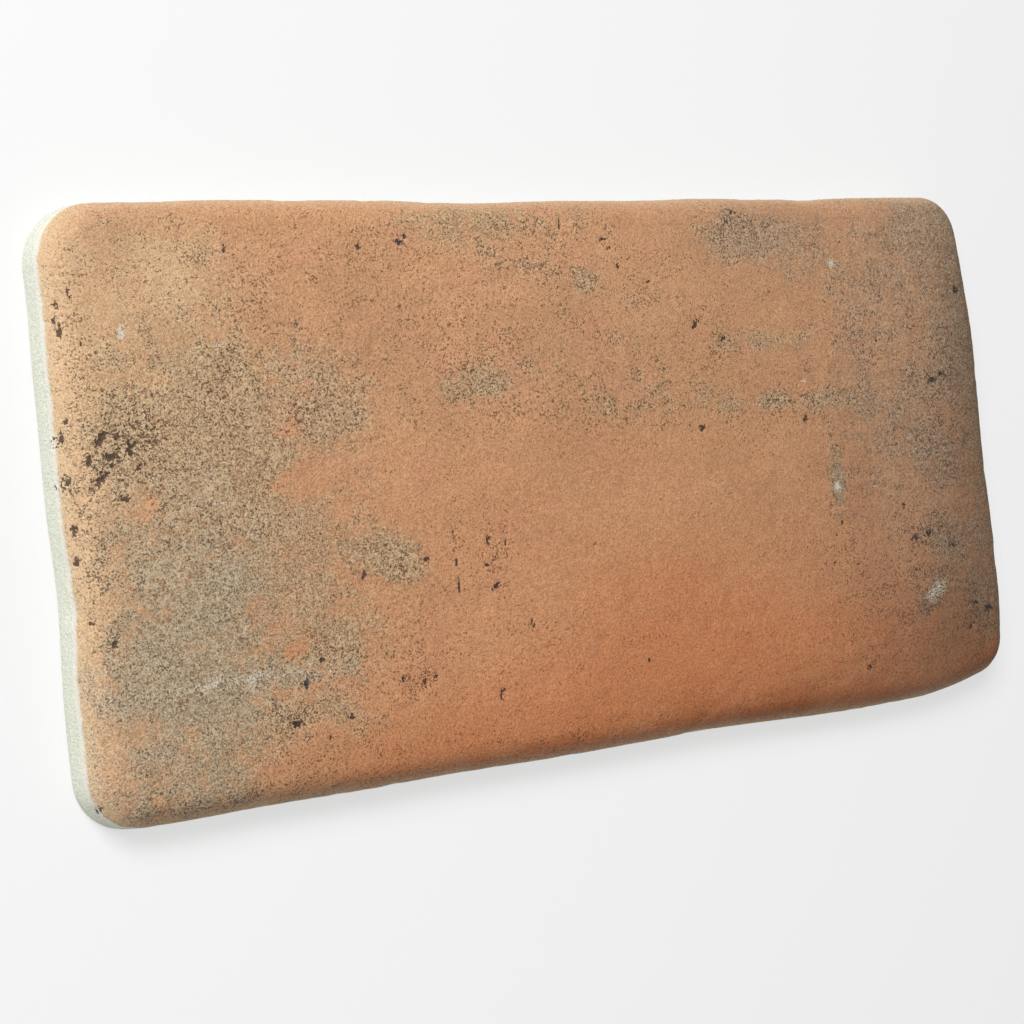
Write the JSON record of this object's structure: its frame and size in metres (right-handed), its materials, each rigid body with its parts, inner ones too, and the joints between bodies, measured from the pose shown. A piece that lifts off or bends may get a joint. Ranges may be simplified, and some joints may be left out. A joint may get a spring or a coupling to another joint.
{
  "type": "porcelain tile",
  "caption": "Flat rectangular brick-look tile with gently waving sides, rounded corners, a pillowed arris round a worn terracotta face and a keyed back.",
  "frame": {"origin": "middle of the back, on the plane that the tile lies on", "axes": "+X along the tile's length, +Y across its width, +Z out of the face; the back looks down"},
  "size_m": [0.1997, 0.0993, 0.01],
  "materials": {
    "porcelain": "matt printed terracotta glaze over a pale cream porcelain body"
  },
  "bodies": {
    "root": {"tile": "porcelain"}
  },
  "joints": []
}
